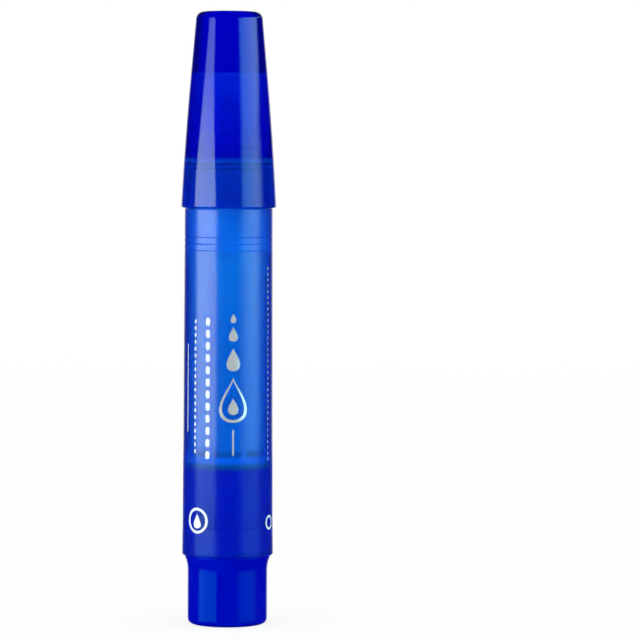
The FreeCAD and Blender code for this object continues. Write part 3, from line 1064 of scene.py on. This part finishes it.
@dataclass(frozen=True)
class Barrel:
    """Frosted barrel with a neck for the cap, a ribbed chamber, a floor and a rear socket."""

    rear: float = 13.3
    floor_base: float = 31.05
    floor_top: float = 32.45
    socket_radius: float = 6.9
    flare_radius: float = 8.685
    flare_band: float = 1.5
    flare_top: float = 20.3
    rear_radius: float = 8.6
    front_radius: float = 8.39
    shoulder: float = 79.6
    neck_radius: float = 7.7
    neck_mouth_radius: float = 7.25
    mouth: float = 87.2
    chamber_radius: float = 6.35
    chamber_floor_radius: float = 6.2
    chamber_front: float = 70.9
    groove_half_width: float = 0.375
    groove_depth: float = 0.12
    rib_count: int = 6
    rib_angle: float = 8.0
    rib_radius: float = 5.45
    rib_top: float = 68.9
    foot_height: float = 0.98
    foot_inner_radius: float = 2.95
    foot_margin: float = 0.1
    floor_gap: float = 0.03
    sink_half_width: float = 0.1
    sink_depth: float = 0.075
    sink_rear: float = 18.9

    def radius_at(self, height: float) -> float:
        """Outer radius of the barrel between its rear end and its shoulder.

        Args:
            height: The height.

        Returns:
            The radius there.
        """
        if height < self.flare_top:
            share = (self.flare_top - height) / (self.flare_top - self.rear - self.flare_band)
            return part_way(self.rear_radius, self.flare_radius, min(share, 1.0))
        share = (height - self.flare_top) / (self.shoulder - self.flare_top)
        return part_way(self.rear_radius, self.front_radius, share)

    def chamber_at(self, height: float) -> float:
        """Radius of the drafted chamber at a height."""
        share = (height - self.floor_top) / (self.chamber_front - self.floor_top)
        return part_way(self.chamber_floor_radius, self.chamber_radius, share)

    def sink_line(self, height: float) -> Outline:
        """Points of a fine sink line in the skin over an inner ring."""
        return bead(self.radius_at(height), height, self.sink_half_width, -self.sink_depth)

    def sector_faces(self, mesh: Mesh, height: float, inner: float, outer: float) -> list[Face]:
        """Faces in the ribs' sectors.

        Args:
            mesh: The turned mesh.
            height: Height of the faces' middles.
            inner: Radius inside the faces' middles.
            outer: Radius outside them.

        Returns:
            The faces.
        """
        found = []
        for face in mesh.faces:
            middle = face.calc_center_median()
            level = abs(middle.z / MM - height) < NEAR and inner < middle.xy.length / MM < outer
            if level and Lathe().in_sector(middle, self.rib_count, self.rib_angle):
                found.append(face)
        return found

    def tube(self) -> Mesh:
        """Turn the barrel's walls and raise the ribs of its chamber.

        Returns:
            The mesh.
        """
        foot_top = self.floor_top + self.foot_height
        mesh = Lathe().turn([
            (self.chamber_floor_radius, self.floor_base),
            (self.socket_radius, self.floor_base),
            (self.socket_radius, self.rear, Rim(0.12, segments=3)),
            (self.flare_radius, self.rear, Rim(0.3, segments=5)),
            (self.flare_radius, self.rear + self.flare_band, Rim(0.8)),
            *self.sink_line(self.sink_rear),
            (self.rear_radius, self.flare_top),
            *(point for height in SNAP_HEIGHTS for point in self.sink_line(height)),
            (self.front_radius, self.shoulder, Rim(0.18)),
            (self.neck_radius, self.shoulder),
            (self.neck_mouth_radius, self.mouth, Rim(0.25)),
            (self.chamber_radius, self.mouth),
            *reversed(snap_beads(self.chamber_radius, self.groove_half_width, self.groove_depth)),
            (self.chamber_radius, self.chamber_front),
            (self.chamber_at(self.rib_top), self.rib_top),
            (self.chamber_at(foot_top), foot_top),
            (self.chamber_floor_radius, self.floor_top),
        ])
        ribs = self.sector_faces(mesh, (self.rib_top + foot_top) / 2, 0.0, self.socket_radius)
        for vert in extrude(mesh, ribs):
            vert.co.xy = vert.co.xy.normalized() * self.rib_radius * MM
        return mesh

    def floor(self) -> Mesh:
        """Turn the barrel's cloudy floor and raise the feet that carry the reservoir.

        Returns:
            The mesh.
        """
        edge = self.chamber_floor_radius - self.floor_gap
        foot_outer = self.chamber_floor_radius - self.foot_margin
        mesh = Lathe().turn([
            (0.0, self.floor_base),
            (edge, self.floor_base),
            (edge, self.floor_top),
            (foot_outer, self.floor_top),
            (self.foot_inner_radius, self.floor_top),
            (0.0, self.floor_top),
        ])
        feet = self.sector_faces(mesh, self.floor_top, self.foot_inner_radius, foot_outer)
        bmesh.ops.translate(mesh, vec=(0.0, 0.0, self.foot_height * MM), verts=extrude(mesh, feet))
        return mesh

    def build(self, shop: Workshop) -> None:
        """Make the barrel's walls and its floor."""
        shop.piece("barrel_frosted_tube", self.tube(), BARREL_PLASTIC, Body.BARREL, "barrel")
        shop.piece("barrel_cloudy_floor", self.floor(), BARREL_FLOOR, Body.BARREL, "barrel")


class MarkShape(Enum):
    """Plain shapes of the printed marks."""

    BAR = "bar"
    DROP = "drop"
    ROUND = "round"


@dataclass(frozen=True)
class Mark:
    """One printed mark, drawn flat before it is laid round the barrel.

    Attributes:
        shape: Its shape.
        turn: Turn of its middle from the front in degrees, positive to the right.
        height: Height of its middle.
        width: Its width.
        length: Its length.
        line: Width of its outline, or 0 where it is filled.
    """

    shape: MarkShape
    turn: float
    height: float
    width: float
    length: float
    line: float = 0.0

    def half_width(self, share: float) -> float:
        """Share of the half width that the mark has at a height.

        Args:
            share: Height from -1 at the lower end to 1 at the upper end.

        Returns:
            The share.
        """
        if self.shape is MarkShape.DROP:
            angle = math.acos(max(-1.0, min(1.0, share)))
            return math.sin(angle) * math.sin(angle / 2.0) ** DROP_SLIMMING / DROP_WIDEST
        slenderness = self.length / self.width if self.shape is MarkShape.BAR else 1.0
        into_end = max(0.0, 1.0 - (1.0 - abs(share)) * slenderness)
        return math.sqrt(max(0.0, 1.0 - into_end * into_end))

    def draw(self, mesh: Mesh) -> list[Vert]:
        """Draw the mark across X and up Y in millimetres.

        Args:
            mesh: The mesh that it is added to.

        Returns:
            The mark's vertices.
        """
        if not self.line:
            across, along = BAR_STEPS if self.shape is MarkShape.BAR else DROP_STEPS
            verts = bmesh.ops.create_grid(mesh, x_segments=across, y_segments=along, size=1.0)["verts"]
            for vert in verts:
                share = math.sin(vert.co.y * math.pi / 2.0)
                vert.co.xy = (vert.co.x * self.half_width(share) * self.width / 2, share * self.length / 2)
            return verts
        outer = bmesh.ops.create_circle(mesh, cap_ends=False, radius=1.0, segments=FINE_STEPS)["verts"]
        edges = list({edge for vert in outer for edge in vert.link_edges})
        drawn = bmesh.ops.extrude_edge_only(mesh, edges=edges)["geom"]
        inner = [item for item in drawn if isinstance(item, Vert)]
        for verts, inset in ((outer, 0.0), (inner, self.line)):
            for vert in verts:
                share = vert.co.y / vert.co.length
                reach = math.copysign(self.half_width(share), vert.co.x) * (self.width / 2 - inset)
                vert.co.xy = (reach, share * (self.length / 2 - inset))
        return outer + inner


@dataclass(frozen=True)
class Print:
    """Plain marks on the barrel: foil drops down the front, and fine stripes and rings in white ink.

    Attributes:
        barrel: The barrel that carries them.
        lift: Gap that keeps the layer clear of the barrel's skin.
        thickness: Thickness of the layer.
    """

    barrel: Barrel
    lift: float = 0.006
    thickness: float = 0.02

    def layer(self, marks: Iterable[Mark]) -> Mesh:
        """Lay marks round the barrel and give the layer its thickness.

        Args:
            marks: The marks.

        Returns:
            The mesh.
        """
        mesh = bmesh.new()
        for mark in marks:
            for vert in mark.draw(mesh):
                across, up = vert.co.x, mark.height + vert.co.y
                out = self.barrel.radius_at(up) + self.lift
                turn = math.radians(mark.turn) + across / out
                vert.co = Vector((out * math.sin(turn), -out * math.cos(turn), up)) * MM
        close_seams(mesh)
        bmesh.ops.solidify(mesh, geom=mesh.faces[:], thickness=self.thickness * MM)
        bmesh.ops.recalc_face_normals(mesh, faces=mesh.faces[:])
        return mesh

    @staticmethod
    def row(first: Mark, count: int, pitch: float) -> list[Mark]:
        """Row of equal marks upwards from the first one."""
        return [replace(first, height=first.height + pitch * index) for index in range(count)]

    def build(self, shop: Workshop) -> None:
        """Print the foil and the ink, each mark by its shape, turn, height, width, length and line.

        Args:
            shop: The workshop that makes the pieces.
        """
        foil = (
            Mark(MarkShape.DROP, 8.0, 43.5, 5.4, 8.6, 0.55),
            Mark(MarkShape.DROP, 8.0, 42.3, 2.0, 3.2),
            Mark(MarkShape.DROP, 8.0, 51.2, 2.6, 4.4),
            Mark(MarkShape.DROP, 8.0, 56.0, 1.7, 2.8),
            Mark(MarkShape.DROP, 8.0, 59.0, 1.1, 1.8),
            Mark(MarkShape.BAR, 8.0, 35.4, 0.35, 5.0),
        )
        ink = (
            *self.row(Mark(MarkShape.BAR, -25.6, 33.0, 0.85, 1.55), count=12, pitch=2.3),
            *self.row(Mark(MarkShape.BAR, -45.5, 33.6, 0.4, 0.75), count=20, pitch=1.3),
            Mark(MarkShape.BAR, -62.0, 45.5, 0.2, 17.0),
            *self.row(Mark(MarkShape.BAR, 64.0, 32.0, 0.18, 0.5), count=34, pitch=1.1),
            Mark(MarkShape.ROUND, -41.0, 20.4, 4.9, 4.9, 0.5),
            Mark(MarkShape.DROP, -41.0, 20.3, 1.8, 2.8),
            Mark(MarkShape.ROUND, 68.0, 19.8, 2.8, 2.8, 0.4),
        )
        shop.piece("print_foil_drops", self.layer(foil), PRINT_FOIL, Body.BARREL)
        shop.piece("print_ink_stripes", self.layer(ink), PRINT_INK, Body.BARREL)


@dataclass(frozen=True)
class FrontSection:
    """Nib holder with its spigot, snap rings and vented nose, and the nib in it."""

    tube_end: float = 81.3
    tube_radius: float = 2.95
    bore_radius: float = 2.05
    roof: float = 85.3
    spigot_bore: float = 5.45
    spigot_radius: float = 6.3
    spigot_end: float = 70.9
    ring_half_width: float = 0.35
    ring_height: float = 0.12
    flange_base: float = 87.22
    flange_top: float = 88.0
    flange_radius: float = 6.9
    land_radius: float = 4.55
    nose_root: float = 91.2
    nose_tip: float = 93.8
    nose_radius: float = 2.95
    vent_count: int = 4
    vent_angle: float = 17.0
    vent_radius: float = 2.45
    nib_rear: float = 74.5

    def holder(self) -> Mesh:
        """Turn the holder and draw the vents out of its bore.

        Returns:
            The mesh.
        """
        lathe = Lathe()
        mesh = lathe.turn([
            (self.bore_radius, self.tube_end),
            (self.tube_radius, self.tube_end),
            (self.tube_radius, self.roof),
            (self.spigot_bore, self.roof),
            (self.spigot_bore, self.spigot_end),
            (self.spigot_radius, self.spigot_end, Rim(0.2, segments=3)),
            *snap_beads(self.spigot_radius, self.ring_half_width, self.ring_height),
            (self.spigot_radius, self.flange_base),
            (self.flange_radius, self.flange_base),
            (self.flange_radius, self.flange_top, Rim(0.2)),
            (self.land_radius, self.flange_top),
            (self.land_radius, self.nose_root, Rim(0.4, segments=5)),
            (self.nose_radius, self.nose_tip, Rim(0.35, segments=5)),
            (self.bore_radius, self.nose_tip),
        ])
        lathe.draw_wall(mesh, self.bore_radius, self.vent_radius, self.vent_count, self.vent_angle)
        return mesh

    def build(self, shop: Workshop) -> None:
        """Make the holder and the nib."""
        shop.piece("front_nib_holder", self.holder(), HOLDER_PLASTIC, Body.BARREL, "nib_holder")
        shop.piece("front_felt_nib", Nib(self.nib_rear).mesh(), NIB_FELT, Body.BARREL, "nib")


@dataclass(frozen=True)
class Reservoir:
    """Fibre rod with its film sleeve and the air tube in its slot."""

    rear: float = 33.45
    front: float = 81.1
    core_radius: float = 5.18
    pocket_radius: float = 2.05
    pocket_point: float = 0.85
    pocket_floor: float = 74.45
    pocket_cone: float = 2.2
    slot_count: int = 1
    slot_angle: float = 19.0
    slot_radius: float = 3.5
    film_bore: float = 5.2
    film_radius: float = 5.35
    tube_place: float = 4.33
    tube_radius: float = 0.8
    tube_bore: float = 0.5
    tube_front: float = 83.1
    tube_steps: int = 48

    def core(self) -> Mesh:
        """Turn the rod and draw in the slot for the air tube.

        Returns:
            The mesh.
        """
        lathe = Lathe()
        mesh = lathe.turn([
            (0.0, self.rear),
            (self.core_radius, self.rear),
            (self.core_radius, self.front),
            (self.pocket_radius, self.front),
            (self.pocket_radius, self.pocket_floor + self.pocket_cone),
            (self.pocket_point, self.pocket_floor),
            (0.0, self.pocket_floor),
        ])
        lathe.draw_wall(mesh, self.core_radius, self.slot_radius, self.slot_count, self.slot_angle)
        return mesh

    def sleeve(self, bore: float, radius: float, front: float, *rims: Rim) -> Outline:
        """Points of a sleeve from the rod's rear end forwards."""
        return [(bore, self.rear), (radius, self.rear), (radius, front, *rims), (bore, front)]

    def film(self) -> Mesh:
        """Film sleeve, turned."""
        return Lathe().turn(self.sleeve(self.film_bore, self.film_radius, self.front))

    def tube(self) -> Mesh:
        """Air tube, turned about its own axis."""
        outline = self.sleeve(self.tube_bore, self.tube_radius, self.tube_front, Rim(0.1, segments=3))
        return Lathe(self.tube_place, steps=self.tube_steps).turn(outline)

    def build(self, shop: Workshop) -> None:
        """Make the rod, the film and the tube.

        Args:
            shop: The workshop that makes the pieces.
        """
        shop.piece("reservoir_rod", self.core(), RESERVOIR_FIBRE, Body.BARREL, "reservoir_core")
        shop.piece("reservoir_film", self.film(), WRAP_FILM, Body.BARREL, "reservoir_wrap")
        shop.piece("reservoir_air_tube", self.tube(), MILKY_PLASTIC, Body.BARREL, "breather_tube")


@dataclass(frozen=True)
class Tail:
    """Tail plug with a coved flange and a hollow sleeve, and the spare nibs stored in it."""

    recess: float = 0.35
    recess_radius: float = 4.43
    radius: float = 7.63
    foot_rounding: float = 1.1
    cove_base: float = 10.25
    flange_base: float = 12.95
    flange_radius: float = 8.17
    flange_top: float = 13.25
    land_radius: float = 6.85
    land_top: float = 19.25
    sleeve_radius: float = 6.6
    sleeve_shoulder: float = 19.55
    sleeve_top: float = 30.25
    store_radius: float = 5.75
    floor: float = 1.8
    spare_base: float = 1.95
    spare_orbit: float = 3.6
    spare_middle: float = 90.0
    spare_step: float = 71.4
    spare_count: int = 3

    def cove(self, count: int) -> Outline:
        """Points of the cove that leads out to the flange.

        Args:
            count: Number of points between the cove's ends.

        Returns:
            The points, without the ends.
        """
        reach, rise = self.flange_radius - self.radius, self.flange_base - self.cove_base
        bend = (reach * reach + rise * rise) / (2.0 * reach)
        ups = [rise * index / (count + 1) for index in range(1, count + 1)]
        return [(self.radius + bend - math.sqrt(bend * bend - up * up), self.cove_base + up) for up in ups]

    def plug(self) -> Mesh:
        """Turn the plug.

        Returns:
            The mesh.
        """
        return Lathe().turn([
            (0.0, self.recess),
            (self.recess_radius, self.recess),
            (self.recess_radius, 0.0, Rim(0.15, segments=3)),
            (self.radius, 0.0, Rim(self.foot_rounding, segments=8)),
            (self.radius, self.cove_base),
            *self.cove(count=5),
            (self.flange_radius, self.flange_base),
            (self.flange_radius, self.flange_top),
            (self.land_radius, self.flange_top),
            (self.land_radius, self.land_top),
            (self.sleeve_radius, self.sleeve_shoulder),
            (self.sleeve_radius, self.sleeve_top, Rim(0.35)),
            (self.store_radius, self.sleeve_top, Rim(0.15, segments=3)),
            (self.store_radius, self.floor, Rim(0.2, segments=3)),
            (0.0, self.floor),
        ])

    def build(self, shop: Workshop) -> None:
        """Make the plug and the spare nibs.

        Args:
            shop: The workshop that makes the pieces.
        """
        shop.piece("tail_deep_blue_plug", self.plug(), TAIL_PLASTIC, Body.TAIL, "tail_plug")
        for index in range(self.spare_count):
            turn = math.radians(self.spare_middle + self.spare_step * (index - (self.spare_count - 1) / 2))
            spare = Nib(self.spare_base, self.spare_orbit * math.cos(turn), self.spare_orbit * math.sin(turn))
            name = f"spare_nib_{index + 1}"
            shop.piece(f"tail_{name}", spare.mesh(), NIB_FELT, Body.TAIL, name)


@dataclass(frozen=True)
class PanelEdge:
    """One upright edge of a softbox.

    Attributes:
        turn: Its turn from the camera in degrees.
        lean: Degrees per metre that it moves outwards above the shoulder.
        fade: Width of its fade in degrees.
    """

    turn: float
    lean: float
    fade: float


@dataclass(frozen=True)
class Softbox:
    """Curved glowing panel that stands round the pen, with edges that lean above its shoulder.

    Attributes:
        name: The panel's name.
        side: 1 to the right of the camera and -1 to its left.
        near: Its edge near the camera.
        far: Its edge away from the camera.
        low_level: Brightness up to the shoulder, where 1 is white.
        high_level: Brightness at the top.
        colour: Its colour.
        cool: Its colour at its foot and its near edge.
        cool_heights: Heights in metres between which the foot's colour gives way.
        cool_reach: Width in degrees over which the near edge's colour gives way.
    """

    name: str
    side: int
    near: PanelEdge
    far: PanelEdge
    low_level: float
    high_level: float
    colour: Colour
    cool: Colour
    cool_heights: Span
    cool_reach: float
    distance: float = 0.5
    low: float = -0.14
    shoulder: float = 0.12
    high: float = 0.26
    low_fade: float = 0.03
    high_fade: float = 0.05
    steps: int = 32

    def build(self) -> None:
        """Spin the panel from its near edge and give it its glow."""
        mesh = bmesh.new()
        edge_turn = math.radians(self.near.turn)
        foot = (self.side * self.distance * math.sin(edge_turn), -self.distance * math.cos(edge_turn))
        ends = [mesh.verts.new((*foot, height)) for height in (self.low, self.high)]
        edge = mesh.edges.new(ends)
        reach = self.far.turn + max(0.0, self.far.lean) * (self.high - self.shoulder) - self.near.turn
        bmesh.ops.spin(
            mesh, geom=[*ends, edge], cent=ORIGIN, axis=UPRIGHT, dvec=ORIGIN,
            angle=math.radians(self.side * reach), steps=self.steps, use_merge=False, use_duplicate=False,
        )
        panel = put(self.name, mesh, self.glow())
        panel.visible_camera = False
        panel.visible_shadow = False

    def glow(self) -> bpy.types.Material:
        """Emission inside the panel's leaning edges, and nothing outside them.

        Returns:
            The material.
        """
        made = bpy.data.materials.new(self.name)
        graph = Graph.fresh(made)
        near, far = self.near, self.far
        parts = graph.parts(graph.add("ShaderNodeTexCoord").outputs["Object"])
        turn = graph.maths("ARCTAN2", parts["X"], graph.maths("MULTIPLY", parts["Y"], -1.0))
        away = graph.maths("MULTIPLY", turn, self.side * math.degrees(1.0))
        lift = graph.maths("MAXIMUM", graph.maths("SUBTRACT", parts["Z"], self.shoulder), 0.0)
        from_near, from_far = (graph.maths("MULTIPLY_ADD", lift, -edge.lean, away) for edge in (near, far))
        rise = graph.remap(from_near, near.turn, near.turn + near.fade)
        fall = graph.remap(from_far, far.turn - far.fade, far.turn, 1.0, 0.0)
        foot = graph.remap(parts["Z"], self.low, self.low + self.low_fade)
        full_top = self.high - self.high_fade
        top = graph.remap(parts["Z"], full_top, self.high, 1.0, 0.0)
        across, along = graph.maths("MULTIPLY", rise, fall), graph.maths("MULTIPLY", foot, top)
        share = graph.maths("MULTIPLY", across, along)
        level = graph.remap(parts["Z"], self.shoulder, full_top, self.low_level, self.high_level)
        over_foot = graph.remap(parts["Z"], *self.cool_heights)
        past_edge = graph.remap(from_near, near.turn, near.turn + self.cool_reach)
        colour = graph.mix(graph.maths("MULTIPLY", over_foot, past_edge), self.cool, self.colour)
        light = graph.add("ShaderNodeEmission", {"Color": colour, "Strength": level})
        clear = graph.add("ShaderNodeBsdfTransparent")
        mixed = graph.add("ShaderNodeMixShader", {0: share, 1: clear.outputs[0], 2: light.outputs[0]})
        graph.add("ShaderNodeOutputMaterial", {"Surface": mixed.outputs[0]})
        return made


@dataclass(frozen=True)
class Studio:
    """Pale floor, white surround, two softboxes, a lamp overhead and the camera."""

    camera_distance: float = 0.7
    camera_aside: float = 0.01752
    camera_height: float = 0.095
    aim_height: float = 0.05834
    camera_roll: float = 0.286
    lens: float = 206.2
    floor_reach: float = 3.0
    floor_paint: Colour = (0.9, 0.9, 0.9)
    floor_white: float = 0.82
    floor_fade: Span = (0.15, 0.9)
    surround_ambient: float = 0.45
    surround_glint: float = 0.012
    glint_fade: Span = (0.85, 0.98)
    surround_corners: float = 0.3
    corner_fade: Span = (0.62, 0.93)
    side_wall_share: float = 0.8
    surround_inside: float = 1.8
    overhead_power: float = 1.6
    overhead_spread: float = 70.0
    softboxes: tuple[Softbox, ...] = (
        Softbox(
            "softbox_left", side=-1, near=PanelEdge(turn=28.0, lean=190.0, fade=5.0),
            far=PanelEdge(turn=92.0, lean=-210.0, fade=8.0), low_level=5.1, high_level=2.5,
            colour=(0.9, 1.0, 0.88), cool=(0.2, 0.95, 0.9), cool_heights=(-0.045, 0.0), cool_reach=1.0,
        ),
        Softbox(
            "softbox_right", side=1, near=PanelEdge(turn=28.0, lean=0.0, fade=14.0),
            far=PanelEdge(turn=100.0, lean=600.0, fade=28.0), low_level=3.2, high_level=3.2,
            colour=(0.62, 1.0, 0.8), cool=(0.2, 0.7, 0.72), cool_heights=(-0.01, 0.06), cool_reach=50.0,
            shoulder=0.15,
        ),
    )

    def floor(self) -> None:
        """Lay the floor: white to the camera, with room for the pen's soft shadow."""
        made = bpy.data.materials.new("floor_pale")
        graph = Graph.fresh(made)
        rays = graph.add("ShaderNodeLightPath").outputs
        place = graph.add("ShaderNodeTexCoord").outputs["Object"]
        way = graph.add("ShaderNodeVectorMath", {0: place}, operation="NORMALIZE").outputs["Vector"]
        paint = graph.add("ShaderNodeBsdfDiffuse", {"Color": self.floor_paint})
        level = graph.remap(rays["Is Camera Ray"], 0.0, 1.0, self.through(graph, rays, way), 1.0)
        glow = graph.add("ShaderNodeEmission", {"Strength": level})
        seen = graph.maths("MAXIMUM", rays["Is Camera Ray"], rays["Is Transmission Ray"])
        white = graph.remap(graph.axis_distance(place), *self.floor_fade, self.floor_white, 1.0)
        share = graph.maths("MULTIPLY", seen, white)
        mixed = graph.add("ShaderNodeMixShader", {0: share, 1: paint.outputs[0], 2: glow.outputs[0]})
        graph.add("ShaderNodeOutputMaterial", {"Surface": mixed.outputs[0]})
        mesh = bmesh.new()
        bmesh.ops.create_grid(mesh, x_segments=1, y_segments=1, size=self.floor_reach)
        laid = put("floor", mesh, made)
        laid.visible_glossy = False

    def through(self, graph: Graph, rays: Outputs, way: Socket) -> Socket:
        """Brightness of the studio as it is seen through the pen.

        Args:
            graph: The graph that asks.
            rays: Outputs of its Light Path node.
            way: Direction out of the pen.

        Returns:
            White towards the walls and dimmer towards the corners, or the light that inner pieces gather.
        """
        parts = graph.parts(way)
        to_sides = graph.maths("MULTIPLY", graph.maths("ABSOLUTE", parts["X"]), self.side_wall_share)
        to_wall = graph.maths("MAXIMUM", graph.maths("ABSOLUTE", parts["Y"]), to_sides)
        straight = graph.remap(to_wall, *self.corner_fade, self.surround_corners, 1.0)
        scattered = graph.maths("GREATER_THAN", rays["Diffuse Depth"], 0.5)
        return graph.remap(scattered, 0.0, 1.0, straight, self.surround_inside)

    def surround(self) -> None:
        """Set the world: white to the camera and behind the pen, and dim for other reflections."""
        world = bpy.data.worlds.new("studio")
        graph = Graph.fresh(world)
        rays = graph.add("ShaderNodeLightPath").outputs
        way = graph.add("ShaderNodeTexCoord").outputs["Generated"]
        reflected = graph.remap(graph.parts(way)["Y"], *self.glint_fade, self.surround_glint, 1.0)
        strength = graph.remap(rays["Is Glossy Ray"], 0.0, 1.0, self.surround_ambient, reflected)
        through = self.through(graph, rays, way)
        strength = graph.remap(rays["Is Transmission Ray"], 0.0, 1.0, strength, through)
        strength = graph.remap(rays["Is Camera Ray"], 0.0, 1.0, strength, 1.0)
        light = graph.add("ShaderNodeBackground", {"Color": WHITE, "Strength": strength})
        graph.add("ShaderNodeOutputWorld", {"Surface": light.outputs[0]})
        bpy.context.scene.world = world

    def overhead(self) -> None:
        """Hang the broad lamp that lights the floor and gives the pen its soft shadow."""
        lamp = bpy.data.lights.new("overhead", "SUN")
        lamp.energy = self.overhead_power
        lamp.angle = math.radians(self.overhead_spread)
        made = bpy.data.objects.new("overhead", lamp)
        made.visible_glossy = False
        made.visible_transmission = False
        bpy.context.scene.collection.objects.link(made)

    def camera(self) -> None:
        """Place the camera at the photograph's viewing angle."""
        data = bpy.data.cameras.new("camera")
        data.lens = self.lens
        made = bpy.data.objects.new("camera", data)
        made.location = (self.camera_aside, -self.camera_distance, self.camera_height)
        aim = Vector((self.camera_aside, 0.0, self.aim_height))
        level = (aim - made.location).to_track_quat("-Z", "Y")
        roll = Quaternion(UPRIGHT, math.radians(self.camera_roll))
        made.rotation_euler = (level @ roll).to_euler()
        bpy.context.scene.collection.objects.link(made)
        bpy.context.scene.camera = made

    def build(self) -> None:
        """Set the whole studio up."""
        self.floor()
        self.surround()
        for softbox in self.softboxes:
            softbox.build()
        self.overhead()
        self.camera()
        bpy.context.scene.view_settings.view_transform = "Standard"


def main() -> None:
    """Build and dress every sub-assembly and set up the studio."""
    logging.basicConfig(level=logging.INFO, format="%(name)s: %(message)s")
    shop = Workshop(Effects())
    for assembly in (Tail(), Barrel(), Print(Barrel()), Reservoir(), FrontSection(), Cap()):
        assembly.build(shop)
    Studio().build()


if __name__ == "__main__":
    main()
